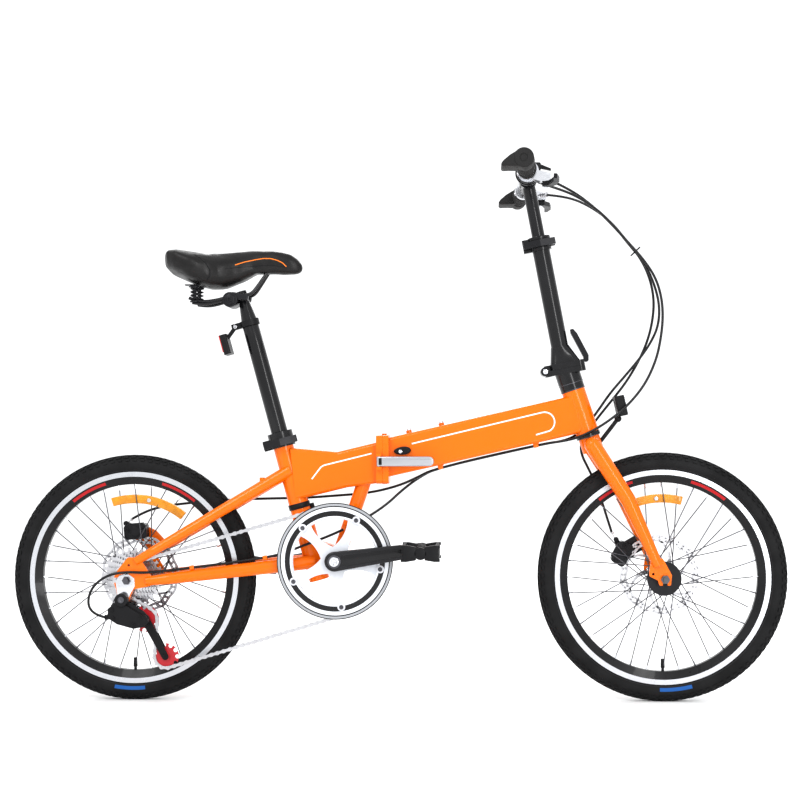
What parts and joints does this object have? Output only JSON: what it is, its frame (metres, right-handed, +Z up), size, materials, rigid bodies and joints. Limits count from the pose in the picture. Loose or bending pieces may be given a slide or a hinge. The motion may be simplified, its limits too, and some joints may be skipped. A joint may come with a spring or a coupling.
{
  "type": "folding bicycle",
  "caption": "Folding city bicycle with a hinged beam frame, folding telescopic handlepost, long seatpost, disc brakes, chain drive and small wheels.",
  "frame": {"origin": "on the ground, midway between the wheels, on the bicycle's mid-plane", "axes": "+X points forwards along the bicycle, +Y to the rider's left, +Z up"},
  "size_m": [1.5238, 0.5626, 1.0439],
  "materials": {
    "orange_paint": "gloss",
    "black_metal": "satin",
    "silver_metal": "polished",
    "steel": "satin",
    "tyre": "matte",
    "black_plastic": "matte",
    "grip_rubber": "matte",
    "saddle_cover": "semi-gloss",
    "red_lens": "gloss",
    "clear_lens": "gloss",
    "cable_housing": "gloss",
    "black_gloss": "gloss"
  },
  "bodies": {
    "rear_frame": {"seat_tube": "orange_paint", "rear_beam": "orange_paint", "bb_shell": "orange_paint", "bottom_bracket_cups": "steel", "chain_stays": "orange_paint", "seat_stays": "orange_paint", "seat_clamp": "black_metal", "rear_hinge": "orange_paint", "rear_axle": "steel", "rear_caliper": "black_metal", "chain": "steel", "derailleur": "black_metal", "rear_cables": "cable_housing"},
    "seat_lever": {"seat_lever": "black_metal"},
    "seat_unit": {"seatpost": "black_metal", "saddle_clamp": "steel", "saddle": "saddle_cover", "rear_reflector": "red_lens"},
    "crank": {"crankset": "black_gloss", "chainring": "silver_metal"},
    "right_pedal": {"right_pedal": "black_plastic"},
    "left_pedal": {"left_pedal": "black_plastic"},
    "freewheel": {"freewheel": "steel"},
    "guide_pulley": {"guide_pulley": "black_plastic"},
    "tension_pulley": {"tension_pulley": "black_plastic"},
    "rear_wheel": {"rear_tyre": "tyre", "rear_rim": "silver_metal", "rear_spokes": "steel", "rear_hub": "black_metal", "rear_rotor": "steel"},
    "rear_caliper_arm": {"rear_caliper_arm": "black_metal"},
    "front_frame": {"front_beam": "orange_paint", "head_tube": "orange_paint", "headset": "black_metal", "beam_cables": "cable_housing"},
    "latch_lever": {"latch_lever": "silver_metal"},
    "latch_catch": {"latch_catch": "black_plastic"},
    "fork": {"fork": "orange_paint", "stem_base": "black_metal", "front_axle": "steel", "front_caliper": "black_metal", "front_reflector": "clear_lens", "fork_cables": "cable_housing"},
    "front_caliper_arm": {"front_caliper_arm": "black_metal"},
    "front_wheel": {"front_tyre": "tyre", "front_rim": "silver_metal", "front_spokes": "steel", "front_hub": "black_metal", "front_rotor": "steel"},
    "handlepost": {"outer_post": "black_metal"},
    "stem_latch": {"stem_latch": "black_metal"},
    "post_clamp_lever": {"post_clamp_lever": "black_metal"},
    "handlebar": {"inner_post": "black_metal", "handlebar": "black_metal", "grips": "grip_rubber", "lever_perches": "black_plastic", "bar_cables": "cable_housing"},
    "left_brake_lever": {"left_brake_lever": "silver_metal"},
    "right_brake_lever": {"right_brake_lever": "silver_metal"},
    "shift_lever": {"shift_lever": "black_plastic"}
  },
  "joints": [
    {"name": "main_fold", "type": "hinge", "parent": "rear_frame", "child": "front_frame", "pos_m": [-0.024, 0.034, 0.47], "axis": [0, 0, 1], "range_deg": [0, 150], "deforming": ["rear_cables", "beam_cables"]},
    {"name": "steering", "type": "hinge", "parent": "front_frame", "child": "fork", "pos_m": [0.3773, 0, 0.523], "axis": [-0.309, 0, 0.9511], "range_deg": [-60, 60], "deforming": ["fork_cables"]},
    {"name": "stem_fold", "type": "hinge", "parent": "fork", "child": "handlepost", "pos_m": [0.29494, 0, 0.64308], "axis": [0, 1, 0], "range_deg": [-80, 0]},
    {"name": "handlepost_slide", "type": "slide", "parent": "handlepost", "child": "handlebar", "axis": [-0.1822, 0, 0.9833], "range_m": [-0.07, 0.05], "deforming": ["bar_cables"]},
    {"name": "stem_latch_swing", "type": "hinge", "parent": "handlepost", "child": "stem_latch", "pos_m": [0.37569, 0, 0.6672], "axis": [0, 1, 0], "range_deg": [0, 100]},
    {"name": "post_clamp_swing", "type": "hinge", "parent": "handlepost", "child": "post_clamp_lever", "pos_m": [0.25939, -0.019, 0.88973], "axis": [-0.1822, 0, 0.9833], "range_deg": [-150, 0]},
    {"name": "left_brake_pull", "type": "hinge", "parent": "handlebar", "child": "left_brake_lever", "pos_m": [0.29295, 0.13, 1.002], "axis": [0, 0, 1], "range_deg": [0, 14], "stiffness_Nm_per_rad": 1.5},
    {"name": "right_brake_pull", "type": "hinge", "parent": "handlebar", "child": "right_brake_lever", "pos_m": [0.29295, -0.13, 1.002], "axis": [0, 0, 1], "range_deg": [-14, 0], "stiffness_Nm_per_rad": 1.5},
    {"name": "shift_press", "type": "hinge", "parent": "handlebar", "child": "shift_lever", "pos_m": [0.26113, -0.098, 1.02], "axis": [0, 1, 0], "range_deg": [-20, 5], "stiffness_Nm_per_rad": 0.3},
    {"name": "front_spin", "type": "hinge", "parent": "fork", "child": "front_wheel", "pos_m": [0.52, 0, 0.242], "axis": [0, 1, 0], "continuous": true},
    {"name": "front_caliper_pull", "type": "hinge", "parent": "fork", "child": "front_caliper_arm", "pos_m": [0.446, 0.0395, 0.284], "axis": [0, 1, 0], "range_deg": [-28, 28]},
    {"name": "latch_swing", "type": "hinge", "parent": "rear_frame", "child": "latch_lever", "pos_m": [-0.0305, -0.0393, 0.47], "axis": [0, 0, 1], "range_deg": [-100, 0]},
    {"name": "latch_catch_lift", "type": "slide", "parent": "front_frame", "child": "latch_catch", "axis": [0, 0, 1], "range_m": [0, 0.006], "stiffness_N_per_m": 400},
    {"name": "seatpost_slide", "type": "slide", "parent": "rear_frame", "child": "seat_unit", "axis": [0.2588, 0, -0.9659], "range_m": [-0.04, 0.2]},
    {"name": "seat_clamp_swing", "type": "hinge", "parent": "rear_frame", "child": "seat_lever", "pos_m": [-0.25493, -0.019, 0.50037], "axis": [-0.2588, 0, 0.9659], "range_deg": [-150, 0]},
    {"name": "crank_spin", "type": "hinge", "parent": "rear_frame", "child": "crank", "pos_m": [-0.1156, 0, 0.2777], "axis": [0, 1, 0], "continuous": true},
    {"name": "right_pedal_spin", "type": "hinge", "parent": "crank", "child": "right_pedal", "pos_m": [0.05477, 0, 0.30134], "axis": [0, 1, 0], "continuous": true},
    {"name": "left_pedal_spin", "type": "hinge", "parent": "crank", "child": "left_pedal", "pos_m": [-0.28597, 0, 0.25406], "axis": [0, 1, 0], "continuous": true},
    {"name": "freewheel_spin", "type": "hinge", "parent": "rear_frame", "child": "freewheel", "pos_m": [-0.52, 0, 0.242], "axis": [0, 1, 0], "continuous": true},
    {"name": "guide_pulley_spin", "type": "hinge", "parent": "rear_frame", "child": "guide_pulley", "pos_m": [-0.487, 0, 0.165], "axis": [0, 1, 0], "continuous": true},
    {"name": "tension_pulley_spin", "type": "hinge", "parent": "rear_frame", "child": "tension_pulley", "pos_m": [-0.448, 0, 0.092], "axis": [0, 1, 0], "continuous": true},
    {"name": "rear_spin", "type": "hinge", "parent": "rear_frame", "child": "rear_wheel", "pos_m": [-0.52, 0, 0.242], "axis": [0, 1, 0], "continuous": true},
    {"name": "rear_caliper_pull", "type": "hinge", "parent": "rear_frame", "child": "rear_caliper_arm", "pos_m": [-0.527, 0.043, 0.329], "axis": [0, 1, 0], "range_deg": [-28, 28]}
  ],
  "couplings": [
    {"joint": "freewheel_spin", "follows": "crank_spin", "ratio": 3.7143},
    {"joint": "guide_pulley_spin", "follows": "crank_spin", "ratio": -4.7273},
    {"joint": "tension_pulley_spin", "follows": "crank_spin", "ratio": 4.7273},
    {"joint": "front_caliper_pull", "follows": "left_brake_pull", "ratio": 2},
    {"joint": "rear_caliper_pull", "follows": "right_brake_pull", "ratio": 2}
  ]
}
